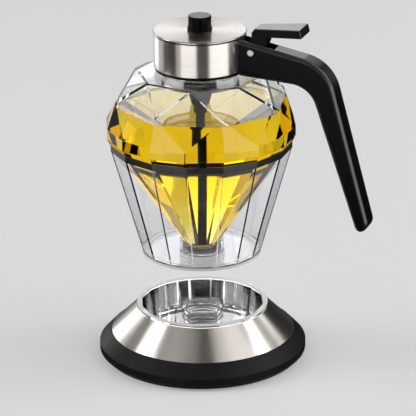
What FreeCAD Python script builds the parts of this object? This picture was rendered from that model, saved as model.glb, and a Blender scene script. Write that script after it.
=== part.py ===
import FreeCAD, Part

import math
import os
import re

import Sketcher
from FreeCAD import Vector

# Honey dispenser: a faceted jar with a thumb-worked valve, held above its drip stand.
# Millimetres. +Z is up, +X points towards the handle, and the origin is the centre of the foot pad.

SIZES = [
    # gaps
    ("fit_gap", 0.1, "between pieces that are fixed together"),
    ("free_gap", 0.3, "between pieces that move apart"),
    ("pin_gap", 0.06, "round a turning or sliding pin"),
    ("lift_height", 34.0, "how far the jar is held above its seat"),
    # stand
    ("foot_inset", 2.9, "foot pad inside the base's wall"),
    ("foot_thickness", 1.6, "non-slip foot pad"),
    ("base_radius", 57.4, "widest radius of the base"),
    ("base_chamfer", 1.4, "bottom edge of the base"),
    ("base_wall_top", 7.1, "where the upright wall ends and the bevel starts"),
    ("base_bevel_height", 6.55, "from there up to the flat that the steel cone stands on"),
    ("base_bevel", 6.2, "how far the bevel leans in"),
    ("base_rim_width", 2.2, "flat that the steel cone stands on"),
    ("base_floor_low", 4.4, "underside of the base floor"),
    ("base_floor", 3.2, "thickness of the base floor"),
    ("plate_inset", 3.0, "weight plate inside the base's well"),
    ("base_screw_circle", 36.0, "radius that the base screws stand on"),
    ("base_screw_radius", 1.5, "shank"),
    ("base_screw_head", 2.8, "head radius"),
    ("base_screw_sink", 1.2, "head thickness"),
    ("cone_inset", 0.6, "steel cone's foot inside the flat's outer edge"),
    ("cone_height", 14.25, "steel cone"),
    ("sheet_wall", 0.7, "steel cone, measured level"),
    ("cup_radius", 36.3, "rim of the drip cup"),
    ("cup_rim", 1.5, "how far the cup's rim stands above the steel cone"),
    ("pan_wall", 0.4, "polished pan that the clear cup stands in"),
    ("cup_wall", 1.0, "cup wall at the corners between its flats"),
    ("cup_taper", 1.5, "how much narrower the pan and the cup are at their bottom"),
    ("cup_floor", 5.6, "thickness of the cup's heavy floor"),
    ("socket_radius", 11.2, "drip socket, outside"),
    ("socket_wall", 2.2, "wall of the drip socket"),
    ("socket_rise", 12.3, "rim of the drip socket, the jar's seat, above the cup floor"),
    ("socket_height", 5.9, "from the socket's rim down to the underside of its lip"),
    ("socket_lip_reach", 0.5, "how far a thin lip stands out round the socket"),
    ("socket_lip", 0.9, "thickness of that lip"),
    ("socket_waist", 0.8, "how much narrower the socket is below its lip"),
    ("socket_floor", 2.6, "thickness under the socket's recess"),
    # jar: heights are above the skirt's bottom edge
    ("jar_wall", 2.2, "clear wall of the jar"),
    ("skirt_inset", 0.3, "corners of the skirt at its top, inside the band's"),
    ("skirt_flare", 0.4, "corners of the skirt above its rim, outside the rim"),
    ("skirt_play", 1.4, "round the skirt's rim, out to those corners, where it sits in the cup"),
    ("skirt_rim", 2.2, "height of that rim"),
    ("skirt_rim_wall", 4.0, "rim, from its outside in to the well of the floor"),
    ("skirt_wall", 2.0, "skirt wall"),
    ("skirt_floor", 1.0, "skirt floor"),
    ("skirt_height", 61.8, "top edge of the skirt"),
    ("collar_gap", 0.4, "between the nozzle and the collar on the skirt floor"),
    ("collar_wall", 1.2, "collar wall"),
    ("collar_height", 7.6, "top of the collar"),
    ("sleeve_wall", 0.7, "sleeve under the skirt, which slides down over the drip socket"),
    ("sleeve_drop", 4.6, "length of that sleeve"),
    ("band_height", 3.8, "dark band round the girdle"),
    ("band_wall", 1.4, "band thickness"),
    ("band_inset", 1.8, "corners of the band inside the girdle's"),
    ("waist_gap", 0.8, "corners of the pavilion inside the skirt's top"),
    ("waist_drop", 0.5, "how far those corners lie below the skirt's top"),
    ("tip_step", 0.6, "corners of the pavilion at its tip, outside the outlet spigot"),
    ("tip_height", 5.6, "height of the tip"),
    ("outlet_wall", 2.8, "wall of the outlet spigot under the tip"),
    ("outlet_bore", 5.6, "hole through the outlet"),
    ("outlet_height", 1.1, "bottom of the outlet spigot"),
    ("girdle_radius", 52.0, "corners of the girdle, the widest ring"),
    ("girdle_bevel", 3.3, "from the band up to the girdle wall"),
    ("girdle_wall", 5.8, "height of the girdle wall"),
    ("star_inset", 5.3, "corners between star and kite facets, inside the girdle's"),
    ("table_inset", 16.2, "corners of the crown's top ring, inside the girdle's"),
    ("crown_height", 28.9, "from the girdle wall up to that ring"),
    ("shoulder_step", 2.0, "corners where the shoulder meets the neck, outside the neck"),
    ("shoulder_rise", 0.7, "height of those corners above the ring"),
    ("neck_radius", 22.6, "neck, outside"),
    ("neck_wall", 2.0, "neck wall"),
    ("neck_rise", 8.3, "top of the neck above the shoulder"),
    ("honey_rise", 11.4, "honey surface above the girdle wall"),
    # outlet
    ("seal_width", 1.8, "black seal above the nozzle's flange"),
    ("nozzle_top", 2.7, "top of the nozzle flange"),
    ("nozzle_low", 0.5, "underside of the nozzle flange"),
    ("spout_radius", 7.4, "spout below the flange"),
    ("spout_length", 2.5, "spout below the flange"),
    ("spout_bore", 4.0, "hole through the spout"),
    ("seal_height", 1.8, "black seal above the nozzle"),
    ("seat_height", 2.5, "soft valve seat in the outlet"),
    ("seat_low_radius", 2.8, "seat cone at its bottom"),
    ("seat_high_radius", 4.0, "seat cone at its top"),
    ("stopper_radius", 4.1, "valve stopper"),
    ("stopper_edge", 0.3, "upright edge above the stopper's cone"),
    ("stopper_sleeve", 0.6, "wall of the stopper's sleeve round the rod"),
    ("stopper_floor", 3.4, "bottom of the rod's socket above the stopper's tip"),
    ("stopper_height", 5.8, "valve stopper, end to end"),
    # head: heights are above the top of the neck
    ("cap_wall", 0.8, "steel cap wall"),
    ("cap_rise", 13.0, "underside of the cap's top disc"),
    ("lid_seam", 0.4, "open seam between the cap wall and that disc"),
    ("cap_drop", 5.4, "how far the cap wall reaches down over the neck"),
    ("lid_thickness", 1.2, "top disc of the cap"),
    ("lid_overhang", 0.3, "top disc past the cap wall"),
    ("lid_edge", 0.55, "rounding of the top disc's edges"),
    ("lid_hole", 3.2, "hole in the top disc for the rod"),
    ("liner_wall", 1.2, "black liner inside the cap"),
    ("liner_edge_inset", 0.4, "visible lower edge of the liner inside the cap's side"),
    ("liner_edge", 1.6, "height of that edge"),
    ("gasket_thickness", 1.0, "soft gasket over the neck"),
    ("gasket_width", 1.8, "soft gasket over the neck"),
    ("plug_flange", 1.0, "flange of the neck plug"),
    ("plug_wall", 1.5, "wall and floor of the neck plug"),
    ("plug_depth", 16.0, "how far the plug hangs down into the neck"),
    ("plug_lip", 0.6, "plug below its seal ring"),
    ("plug_seal_depth", 0.9, "seal ring's groove in the plug"),
    ("plug_seal_height", 1.5, "seal ring round the plug"),
    ("guide_radius", 6.0, "boss of the rod guide"),
    ("guide_flange_radius", 8.5, "flange of the rod guide"),
    ("guide_flange", 1.5, "flange of the rod guide"),
    ("guide_boss_drop", 22.0, "bottom of the boss below the neck top"),
    ("guide_cone_drop", 31.0, "bottom of the funnel below the neck top"),
    ("guide_tube_radius", 3.6, "tube below the funnel"),
    ("guide_tube_drop", 45.0, "bottom of the tube below the neck top"),
    ("guide_screw_circle", 7.3, "radius that the guide screws stand on"),
    ("guide_screw_radius", 0.6, "guide screw"),
    ("guide_screw_head", 1.0, "guide screw head"),
    # rod and knob
    ("rod_radius", 2.5, "valve rod"),
    ("knob_radius", 6.2, "knob"),
    ("knob_height", 7.7, "knob"),
    ("knob_flange_radius", 6.7, "foot of the knob"),
    ("knob_flange", 1.5, "foot of the knob"),
    ("knob_edge", 0.5, "rounded top edge of the knob"),
    ("knob_socket", 5.0, "depth of the rod's hole in the knob"),
    ("collar_lift_height", 0.6, "underside of the lift collar above the neck top"),
    ("lift_collar_radius", 5.2, "lift collar"),
    ("lift_collar_height", 1.8, "lift collar"),
    ("clip_radius", 4.2, "retaining clip above the lift collar"),
    ("clip_thickness", 0.8, "retaining clip"),
    ("clip_groove", 0.4, "depth of the clip's groove in the rod"),
    ("clip_mouth", 3.5, "width of the clip's open side"),
    ("spring_radius", 3.9, "return spring, to the middle of the wire"),
    ("spring_wire", 0.35, "radius of the spring wire"),
    ("spring_turns", 5.0, "turns of the return spring"),
    # handle and lever
    ("pivot_out", 5.9, "lever pin from the cap"),
    ("pivot_rise", 5.8, "lever pin above the neck top"),
    ("pin_radius", 1.9, "lever pin"),
    ("pin_stand_out", 0.5, "how far the pin's heads stand out"),
    ("pin_dome", 0.45, "rounding of those heads"),
    ("handle_width", 13.0, "handle, side to side"),
    ("handle_edge", 2.4, "rounding of the handle's edges"),
    ("arm_proud", 0.2, "top of the handle above the cap's wall"),
    ("arm_drop", 2.15, "underside of the handle below the cap's wall"),
    ("arm_reach", 48.7, "outer corner of the handle before rounding, from the cap"),
    ("knee_rise", 2.3, "height of that corner"),
    ("knee_radius", 23.0, "rounding of that corner"),
    ("crook_inset", 10.3, "inner corner of the handle before rounding, from the outer one"),
    ("crook_drop", 12.7, "how far that corner lies below the outer one"),
    ("crook_radius", 15.0, "rounding of that corner"),
    ("tip_spread", 24.7, "outer corner of the handle's tip, out from the knee"),
    ("tip_width", 8.2, "width of the handle's tip"),
    ("tip_rise", -89.4, "bottom of the handle"),
    ("tip_out_rounding", 5.5, "rounding of the tip's outer corner"),
    ("tip_in_rounding", 3.0, "rounding of the tip's inner corner"),
    ("slot_width", 8.0, "slot in the top of the handle"),
    ("slot_floor", 1.4, "bottom of the slot above the neck top"),
    ("slot_slope", 6.5, "how far the slot's floor then slants up and out"),
    ("slot_run", 6.1, "level part of the slot's floor past the pin"),
    ("stem_width", 7.4, "lever stem in the slot"),
    ("hub_depth", 2.9, "lever hub below the pin"),
    ("hub_front", 2.9, "lever hub past the pin, away from the cap"),
    ("hub_back", 4.3, "lever hub past the pin, towards the cap"),
    ("hub_shoulder", 2.8, "height of the hub's back above the pin"),
    ("stem_low_reach", 7.2, "outer side of the stem in the slot, from the pin"),
    ("stem_low_rise", 2.7, "height of that corner above the pin"),
    ("stem_high_reach", 8.4, "outer side of the stem under the pad, from the pin"),
    ("stem_high_rise", 5.8, "height of that corner above the pin"),
    ("stem_back_reach", 2.7, "inner side of the stem, from the pin towards the cap"),
    ("stem_back_rise", 4.2, "height of that corner above the pin"),
    ("pad_length", 26.0, "thumb pad"),
    ("pad_out", 1.7, "start of the thumb pad, out from the pin"),
    ("pad_rise", 19.0, "top of the thumb pad at its start"),
    ("pad_climb", 2.1, "how much higher the pad's end is"),
    ("pad_thickness", 4.6, "thumb pad"),
    ("pad_near_width", 10.7, "thumb pad at its start"),
    ("pad_far_width", 15.0, "thumb pad at its end"),
    ("pad_nose", 1.6, "how far the pad's rounded start stands out"),
    ("pad_nose_drop", 2.2, "how far that start drops"),
    ("pad_flare", 1.2, "how far the pad's end slants out at its underside"),
    ("pad_edge", 0.5, "rounding of the pad's edges"),
    ("fork_width", 4.0, "lift arm through the cap"),
    ("fork_thickness", 3.0, "lift arm through the cap"),
    ("fork_grip", 2.5, "end of the lift arm in the lever, short of the pin"),
    ("fork_bend", 18.0, "where the lift arm starts to step down"),
    ("fork_step", 5.6, "length of that step"),
    ("fork_tip", -3.0, "end of the fork past the axis"),
    ("fork_tine_width", 2.4, "one tine of the fork"),
    ("fork_tine_thickness", 1.6, "tine of the fork"),
    ("fork_slot_end", 4.6, "closed end of the fork's slot"),
    ("fork_slot_gap", 0.4, "beside the rod in the fork's slot"),
    ("fork_back", 10.0, "end of the tine plate under the step"),
    ("fork_pad_radius", 1.1, "round pad on each tine"),
    ("fork_pad_rise", 0.6, "how far that pad stands above its tine"),
    ("cap_slot_width", 5.2, "slot in the cap for the lift arm"),
    ("cap_slot_below", 2.8, "bottom of that slot below the pin's middle"),
    ("cap_slot_above", 4.2, "top of that slot above the pin's middle"),
    ("handle_screw_radius", 1.3, "handle screw"),
    ("handle_screw_head", 2.1, "handle screw head"),
    ("handle_screw_sink", 0.6, "handle screw head thickness"),
    ("handle_screw_spread", 3.4, "handle screws from the middle plane"),
    ("handle_screw_drop", 3.0, "handle screws below the neck top"),
    ("handle_screw_length", 9.0, "handle screw in the handle"),
]

SIDES = 16  # facets round the girdle, the skirt and the pavilion
HALF_SIDE = 360 / SIDES / 2
BASE_SCREWS = 4
GUIDE_SCREWS = 3

FOOT_RADIUS = "(base_radius - foot_inset)"
BASE_RIM_RADIUS = "(base_radius - base_bevel)"
BASE_RIM_TOP = "(base_wall_top + base_bevel_height)"
BASE_WELL_RADIUS = f"({BASE_RIM_RADIUS} - base_rim_width)"
BASE_FLOOR_TOP = "(base_floor_low + base_floor)"
PLATE_RADIUS = f"({BASE_WELL_RADIUS} - plate_inset)"
CONE_FOOT_RADIUS = f"({BASE_RIM_RADIUS} - cone_inset)"
CONE_TOP = f"({BASE_RIM_TOP} + cone_height)"
PAN_RADIUS = "(cup_radius - sheet_wall - fit_gap)"
PAN_FLOOR_TOP = f"({BASE_FLOOR_TOP} + pan_wall)"
CUP_BODY = f"({PAN_RADIUS} - pan_wall - fit_gap)"
CUP_INSIDE = f"({CUP_BODY} - cup_wall)"
CUP_TOP = f"({CONE_TOP} + cup_rim)"
CUP_BOTTOM = f"({PAN_FLOOR_TOP} + fit_gap)"
CUP_FLOOR_TOP = f"({CUP_BOTTOM} + cup_floor)"
SOCKET_TOP = f"({CUP_FLOOR_TOP} + socket_rise)"
SOCKET_BORE = "(socket_radius - socket_wall)"
SOCKET_LIP_LOW = f"({SOCKET_TOP} - socket_height)"

JAR_FOOT = f"({SOCKET_TOP} + lift_height)"
BAND_RADIUS = "(girdle_radius - band_inset)"
SKIRT_RADIUS = f"({BAND_RADIUS} - skirt_inset)"
SKIRT_RIM_RADIUS = f"({CUP_INSIDE} - skirt_play)"
SKIRT_LOW_RADIUS = f"({SKIRT_RIM_RADIUS} + skirt_flare)"
WAIST_RADIUS = f"({SKIRT_RADIUS} - skirt_wall - waist_gap)"
WAIST_HEIGHT = "(skirt_height - waist_drop)"
OUTLET_RADIUS = "(outlet_bore + outlet_wall)"
TIP_RADIUS = f"({OUTLET_RADIUS} + tip_step)"
NOZZLE_RADIUS = f"({OUTLET_RADIUS} + fit_gap + seal_width)"
COLLAR_BORE = f"({NOZZLE_RADIUS} + collar_gap)"
GIRDLE_LOW = "(skirt_height + band_height + girdle_bevel)"
GIRDLE_HIGH = f"({GIRDLE_LOW} + girdle_wall)"
STAR_RADIUS = "(girdle_radius - star_inset)"
TABLE_RADIUS = "(girdle_radius - table_inset)"
TABLE_HEIGHT = f"({GIRDLE_HIGH} + crown_height)"
SHOULDER_RADIUS = "(neck_radius + shoulder_step)"
SHOULDER_HEIGHT = f"({TABLE_HEIGHT} + shoulder_rise)"
HONEY_LEVEL = f"({GIRDLE_HIGH} + honey_rise)"
HONEY_LOW = "(outlet_height + seat_height + fit_gap)"
NECK_TOP = f"({JAR_FOOT} + {SHOULDER_HEIGHT} + neck_rise)"
NECK_BORE = "(neck_radius - neck_wall)"

LINER_BORE = "(neck_radius + free_gap)"
LINER_RADIUS = f"({LINER_BORE} + liner_wall)"
CAP_RADIUS = f"({LINER_RADIUS} + fit_gap + cap_wall)"
CAP_TOP = f"({NECK_TOP} + cap_rise)"
FLANGE_LOW = f"({NECK_TOP} + free_gap + gasket_thickness)"
PLUG_RADIUS = f"({NECK_BORE} - free_gap)"
PLUG_FLOOR = f"({NECK_TOP} - plug_depth + plug_wall)"
PLUG_SEAL_LOW = f"({NECK_TOP} - plug_depth + plug_lip)"
PLUG_SEAL_HIGH = f"({PLUG_SEAL_LOW} + plug_seal_height)"
COLLAR_LOW = f"({NECK_TOP} + collar_lift_height)"
CLIP_LOW = f"({COLLAR_LOW} + lift_collar_height)"
SPRING_LOW = f"({CLIP_LOW} + clip_thickness)"
KNOB_LOW = f"({CAP_TOP} + lid_thickness + free_gap)"
KNOB_TOP = f"({KNOB_LOW} + knob_height)"
STOPPER_LOW = f"({JAR_FOOT} + outlet_height + free_gap)"
PIVOT_REACH = f"({CAP_RADIUS} + pivot_out)"
PIVOT_HEIGHT = f"({NECK_TOP} + pivot_rise)"
PAD_REACH = f"({PIVOT_REACH} + pad_out)"
FORK_ROOT = f"({PIVOT_REACH} - fork_grip)"
SLOT_FLOOR_END = f"({PIVOT_REACH} + slot_run)"
SLOT_END = f"({SLOT_FLOOR_END} + slot_slope)"
KNEE_REACH = f"({CAP_RADIUS} + arm_reach)"
CROOK_REACH = f"({KNEE_REACH} - crook_inset)"
TIP_OUT_REACH = f"({KNEE_REACH} + tip_spread)"
TIP_IN_REACH = f"({TIP_OUT_REACH} - tip_width)"
THROUGH_ALL = f"(2 * {KNOB_TOP})"

doc = FreeCAD.newDocument("honey_dispenser")
sizes = doc.addObject("Spreadsheet::Sheet", "Sizes")
for row, (alias, number, meaning) in enumerate(SIZES, start=1):
    sizes.set(f"A{row}", str(number))
    sizes.setAlias(f"A{row}", alias)
    sizes.set(f"B{row}", meaning)
doc.recompute()

nodes = []


def bound(expression):
    """Point every size's name at the sheet."""
    return re.sub(r"\b([a-z]+(?:_[a-z]+)+)\b", r"Sizes.\1", expression)


def value(expression):
    return float(sizes.evalExpression(expression))


def new_body(label):
    body = doc.addObject("PartDesign::Body", label)
    body.Label = label
    nodes.append(body)
    return body


def new_sketch(body, role):
    sketch = body.newObject("Sketcher::SketchObject", body.Name + "_sketch")
    plane = [item for item in body.Origin.OriginFeatures if item.Role == role][0]
    sketch.AttachmentSupport = [(plane, "")]
    sketch.MapMode = "FlatFace"
    return sketch


def pin_point(sketch, geometry, point, x, y):
    """Hold one point of a sketch by two sizes from the origin."""
    for kind, expression in (("DistanceX", x), ("DistanceY", y)):
        index = sketch.addConstraint(
            Sketcher.Constraint(kind, -1, 1, geometry, point, value(expression))
        )
        sketch.setExpression(f"Constraints[{index}]", bound(expression))


def draw_polygon(sketch, corners):
    points = [Vector(value(x), value(y), 0) for x, y in corners]
    first = sketch.GeometryCount
    count = len(points)
    for index in range(count):
        sketch.addGeometry(Part.LineSegment(points[index], points[(index + 1) % count]), False)
    for index in range(count):
        following = first + (index + 1) % count
        sketch.addConstraint(Sketcher.Constraint("Coincident", first + index, 2, following, 1))
    for index, (x, y) in enumerate(corners):
        pin_point(sketch, first + index, 1, x, y)


def draw_circle(sketch, x, y, radius):
    centre = Vector(value(x), value(y), 0)
    circle = Part.Circle(centre, Vector(0, 0, 1), value(radius))
    index = sketch.addGeometry(circle, False)
    pin_point(sketch, index, 3, x, y)
    constraint = sketch.addConstraint(Sketcher.Constraint("Radius", index, value(radius)))
    sketch.setExpression(f"Constraints[{constraint}]", bound(radius))


def turn(label, *outlines):
    """A body turned about Z from outlines of (radius, height)."""
    body = new_body(label)
    sketch = new_sketch(body, "XZ_Plane")
    for outline in outlines:
        draw_polygon(sketch, outline)
    revolution = body.newObject("PartDesign::Revolution", label + "_turned")
    revolution.Profile = sketch
    revolution.ReferenceAxis = (sketch, ["V_Axis"])
    revolution.Angle = 360
    doc.recompute()
    return body


def tube(label, inner, outer, low, high):
    return turn(label, [(inner, low), (outer, low), (outer, high), (inner, high)])


def pad_across(body, name, sketch, width):
    """Pad a side view to both sides of the middle plane."""
    pad = body.newObject("PartDesign::Pad", name)
    pad.Profile = sketch
    pad.SideType = "Symmetric"
    pad.setExpression("Length", bound(width))
    doc.recompute()
    return pad


def cut_across(body, name, sketch, width):
    pocket = body.newObject("PartDesign::Pocket", name)
    pocket.Profile = sketch
    pocket.SideType = "Symmetric"
    pocket.setExpression("Length", bound(width))
    doc.recompute()
    return pocket


def round_edges(body, name, radius, wanted):
    """Fillet the edges of the body's last feature that the test picks."""
    base = body.Tip
    edges = [
        f"Edge{index}"
        for index, edge in enumerate(base.Shape.Edges, start=1)
        if wanted(edge)
    ]
    fillet = body.newObject("PartDesign::Fillet", name)
    fillet.Base = (base, edges)
    fillet.setExpression("Radius", bound(radius))
    doc.recompute()
    return fillet


def repeat_round(body, features, count):
    pattern = body.newObject("PartDesign::PolarPattern", features[0].Name + "_ring")
    pattern.Originals = features
    axis = [item for item in body.Origin.OriginFeatures if item.Role == "Z_Axis"][0]
    pattern.Axis = (axis, [""])
    pattern.Angle = 360
    pattern.Occurrences = count
    body.Tip = pattern
    doc.recompute()
    return pattern


def ring(radius, height, sides=SIDES, offset=0.0):
    """Corners of a level regular polygon; its first flat faces +X when the offset is nothing."""
    step = 360 / sides
    corners = []
    for index in range(sides):
        corner = Vector(radius, 0, height)
        corners.append(turned(corner, HALF_SIDE + offset + step * index))
    return corners


def turned(point, degrees):
    return FreeCAD.Rotation(Vector(0, 0, 1), degrees).multVec(point)


def between(lower, upper):
    """Facets between two rings with the same number of corners."""
    count = len(lower)
    facets = []
    for index in range(count):
        following = (index + 1) % count
        facets.append([lower[index], lower[following], upper[following], upper[index]])
    return facets


def gem_solid(facets):
    """A closed solid from flat facets that share their corners."""
    faces = [Part.Face(Part.makePolygon(corners + corners[:1])) for corners in facets]
    solid = Part.makeSolid(Part.makeShell(faces))
    if solid.Volume < 0:
        solid.reverse()
    return solid


def frustum(low_radius, low, high_radius, high):
    lower = ring(low_radius, low)
    upper = ring(high_radius, high)
    return gem_solid([lower, upper] + between(lower, upper))


def crown_facets(star_radius, table_radius, table_height, girdle_radius, girdle_height):
    """Kites, stars and halves of a brilliant cut above the girdle, and its top ring."""
    eighths = SIDES // 2
    table = ring(table_radius, table_height, eighths)
    # a kite is flat, so its side corners lie on the plane through its top and bottom corner
    side_reach = star_radius * math.cos(math.radians(HALF_SIDE * 2))
    share = (side_reach - table_radius) / (girdle_radius - table_radius)
    star_height = table_height - share * (table_height - girdle_height)
    star = ring(star_radius, star_height, eighths, HALF_SIDE * 2)
    girdle = ring(girdle_radius, girdle_height)
    facets = []
    for index in range(eighths):
        following = (index + 1) % eighths
        low = 2 * index
        middle = low + 1
        high = (low + 2) % SIDES
        facets.append([table[index], table[following], star[index]])
        facets.append([table[index], star[index], girdle[low], star[index - 1]])
        facets.append([star[index], girdle[low], girdle[middle]])
        facets.append([star[index], girdle[middle], girdle[high]])
    return facets, table, girdle


def add_computed(label, shape):
    """A piece whose facets meet in shared corners, which no pad or loft gives."""
    piece = doc.addObject("Part::Feature", label)
    piece.Label = label
    piece.Shape = shape
    nodes.append(piece)
    return piece


def cylinder(radius, low, high):
    return Part.makeCylinder(radius, high - low, Vector(0, 0, low))


# ---- stand ----

tube("foot_pad", "0", FOOT_RADIUS, "0", "foot_thickness")

base_ring = turn("base_ring", [
    ("0", "base_floor_low"),
    (f"{PLATE_RADIUS} + fit_gap", "base_floor_low"),
    (f"{PLATE_RADIUS} + fit_gap", "foot_thickness"),
    ("base_radius - base_chamfer", "foot_thickness"),
    ("base_radius", "foot_thickness + base_chamfer"),
    ("base_radius", "base_wall_top"),
    (BASE_RIM_RADIUS, BASE_RIM_TOP),
    (BASE_WELL_RADIUS, BASE_RIM_TOP),
    (BASE_WELL_RADIUS, BASE_FLOOR_TOP),
    ("0", BASE_FLOOR_TOP),
])

base_plate = tube("base_plate", "0", PLATE_RADIUS, "foot_thickness", "base_floor_low")

turn("stand_cone", [
    (f"{CONE_FOOT_RADIUS} - sheet_wall", BASE_RIM_TOP),
    (CONE_FOOT_RADIUS, BASE_RIM_TOP),
    ("cup_radius", CONE_TOP),
    ("cup_radius - sheet_wall", CONE_TOP),
])

turn("cup_pan", [
    ("0", BASE_FLOOR_TOP),
    (f"{PAN_RADIUS} - cup_taper", BASE_FLOOR_TOP),
    (PAN_RADIUS, CONE_TOP),
    (f"{PAN_RADIUS} - pan_wall", CONE_TOP),
    (f"{PAN_RADIUS} - cup_taper - pan_wall", PAN_FLOOR_TOP),
    ("0", PAN_FLOOR_TOP),
])


def cup_shape():
    """Round outside, with a flat inside for each side of the skirt that it takes."""
    low = value(CUP_BOTTOM)
    shelf = value(CONE_TOP)
    top = value(CUP_TOP)
    taper = value("cup_taper")
    wall = Part.makeCone(value(CUP_BODY) - taper, value(CUP_BODY), shelf - low, Vector(0, 0, low))
    step = cylinder(value(CUP_BODY), shelf, top)
    rim = cylinder(value("cup_radius"), shelf + value("fit_gap"), top)
    inside = frustum(value(CUP_INSIDE) - taper, value(CUP_FLOOR_TOP), value(CUP_INSIDE), top)
    return wall.fuse([step, rim]).cut(inside).removeSplitter()


add_computed("drip_cup", cup_shape())

turn("drip_socket", [
    ("0", CUP_FLOOR_TOP),
    ("socket_radius - socket_waist", CUP_FLOOR_TOP),
    ("socket_radius - socket_waist", SOCKET_LIP_LOW),
    ("socket_radius + socket_lip_reach", SOCKET_LIP_LOW),
    ("socket_radius + socket_lip_reach", f"{SOCKET_LIP_LOW} + socket_lip"),
    ("socket_radius", f"{SOCKET_LIP_LOW} + socket_lip"),
    ("socket_radius", SOCKET_TOP),
    (SOCKET_BORE, SOCKET_TOP),
    (SOCKET_BORE, f"{CUP_FLOOR_TOP} + socket_floor"),
    ("0", f"{CUP_FLOOR_TOP} + socket_floor"),
])


# ---- jar ----

FOOT = value(JAR_FOOT)
BAND_HIGH = FOOT + value("skirt_height + band_height")
WALL = value("jar_wall")
# across a sloping facet the wall is measured square to it
PAVILION_SLOPE = value(f"({WAIST_RADIUS} - {TIP_RADIUS}) / ({WAIST_HEIGHT} - tip_height)")
PAVILION_INSET = WALL * math.sqrt(1 + PAVILION_SLOPE ** 2)


def outside_of_jar():
    facets, table, girdle = crown_facets(
        value(STAR_RADIUS),
        value(TABLE_RADIUS),
        FOOT + value(TABLE_HEIGHT),
        value("girdle_radius"),
        FOOT + value(GIRDLE_HIGH),
    )
    shoulder = ring(value(SHOULDER_RADIUS), FOOT + value(SHOULDER_HEIGHT), SIDES // 2)
    girdle_foot = ring(value("girdle_radius"), FOOT + value(GIRDLE_LOW))
    bevel = ring(value(BAND_RADIUS), BAND_HIGH)
    ledge = ring(value(f"{BAND_RADIUS} - band_wall - fit_gap"), BAND_HIGH)
    waist = ring(value(WAIST_RADIUS), FOOT + value(WAIST_HEIGHT))
    tip = ring(value(TIP_RADIUS), FOOT + value("tip_height"))
    facets += [shoulder, tip]
    for lower, upper in (
        (table, shoulder),
        (girdle_foot, girdle),
        (bevel, girdle_foot),
        (ledge, bevel),
        (waist, ledge),
        (tip, waist),
    ):
        facets += between(lower, upper)
    return gem_solid(facets)


def inside_of_jar():
    facets, table, girdle = crown_facets(
        value(STAR_RADIUS) - WALL,
        value(TABLE_RADIUS) - WALL,
        FOOT + value(TABLE_HEIGHT) - WALL,
        value("girdle_radius") - WALL,
        FOOT + value(GIRDLE_HIGH),
    )
    girdle_foot = ring(value("girdle_radius") - WALL, FOOT + value(GIRDLE_LOW))
    waist = ring(value(WAIST_RADIUS) - PAVILION_INSET, FOOT + value(WAIST_HEIGHT))
    bore = value("outlet_bore")
    # the pavilion's inner facets run down until they meet the outlet's bore
    drop = (value(WAIST_RADIUS) - PAVILION_INSET - bore) / PAVILION_SLOPE
    tip = ring(bore, FOOT + value(WAIST_HEIGHT) - drop)
    facets += [table, tip]
    for lower, upper in ((girdle_foot, girdle), (waist, girdle_foot), (tip, waist)):
        facets += between(lower, upper)
    return gem_solid(facets)


def jar_shape():
    outlet_low = FOOT + value("outlet_height")
    neck_high = value(NECK_TOP)
    middle = FOOT + value(GIRDLE_HIGH)
    neck = cylinder(value("neck_radius"), middle, neck_high)
    spigot = cylinder(value(OUTLET_RADIUS), outlet_low, FOOT + value("tip_height + jar_wall"))
    body = outside_of_jar().fuse([neck, spigot])
    neck_bore = cylinder(value(NECK_BORE), middle, neck_high)
    outlet = cylinder(value("outlet_bore"), outlet_low, middle)
    return body.cut([inside_of_jar(), neck_bore, outlet]).removeSplitter()


def honey_shape():
    """What the jar holds, with a way up through it for the rod, its stopper and the guide."""
    low = FOOT + value(HONEY_LOW)
    level = FOOT + value(HONEY_LEVEL)
    neck_high = value(NECK_TOP)
    vessel = cylinder(value("girdle_radius"), low, level)
    inside = inside_of_jar().fuse(cylinder(value("outlet_bore"), low, level))
    rod_way = cylinder(value("stopper_radius + free_gap"), low, neck_high)
    funnel_low = neck_high - value("guide_cone_drop + free_gap")
    guide_way = cylinder(value("guide_radius + free_gap"), funnel_low, neck_high)
    return inside.common(vessel).cut([rod_way, guide_way]).removeSplitter()


def skirt_shape():
    rim_top = FOOT + value("skirt_rim")
    top = FOOT + value("skirt_height")
    wall = value("skirt_wall")
    outer = frustum(value(SKIRT_LOW_RADIUS), rim_top, value(SKIRT_RADIUS), top)
    inner = frustum(value(SKIRT_LOW_RADIUS) - wall, rim_top, value(SKIRT_RADIUS) - wall, top)
    rim = cylinder(value(SKIRT_RIM_RADIUS), FOOT, rim_top)
    well_radius = value(f"{SKIRT_RIM_RADIUS} - skirt_rim_wall")
    well = cylinder(well_radius, FOOT + value("skirt_floor"), rim_top)
    collar = cylinder(value(f"{COLLAR_BORE} + collar_wall"), FOOT, FOOT + value("collar_height"))
    middle = cylinder(value(COLLAR_BORE), FOOT, FOOT + value("collar_height"))
    sleeve_bore = value("socket_radius + free_gap")
    sleeve_low = FOOT - value("sleeve_drop")
    sleeve = cylinder(sleeve_bore + value("sleeve_wall"), sleeve_low, FOOT)
    hollow = cylinder(sleeve_bore, sleeve_low, FOOT)
    solid = rim.cut(well).fuse([outer.cut(inner), collar, sleeve])
    return solid.cut([middle, hollow]).removeSplitter()


def band_shape():
    low = FOOT + value("skirt_height")
    inner = value(f"{BAND_RADIUS} - band_wall")
    outer = value(BAND_RADIUS)
    return frustum(outer, low, outer, BAND_HIGH).cut(frustum(inner, low, inner, BAND_HIGH))


add_computed("jar", jar_shape())
add_computed("honey", honey_shape())
add_computed("skirt", skirt_shape())
add_computed("girdle_band", band_shape())

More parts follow.
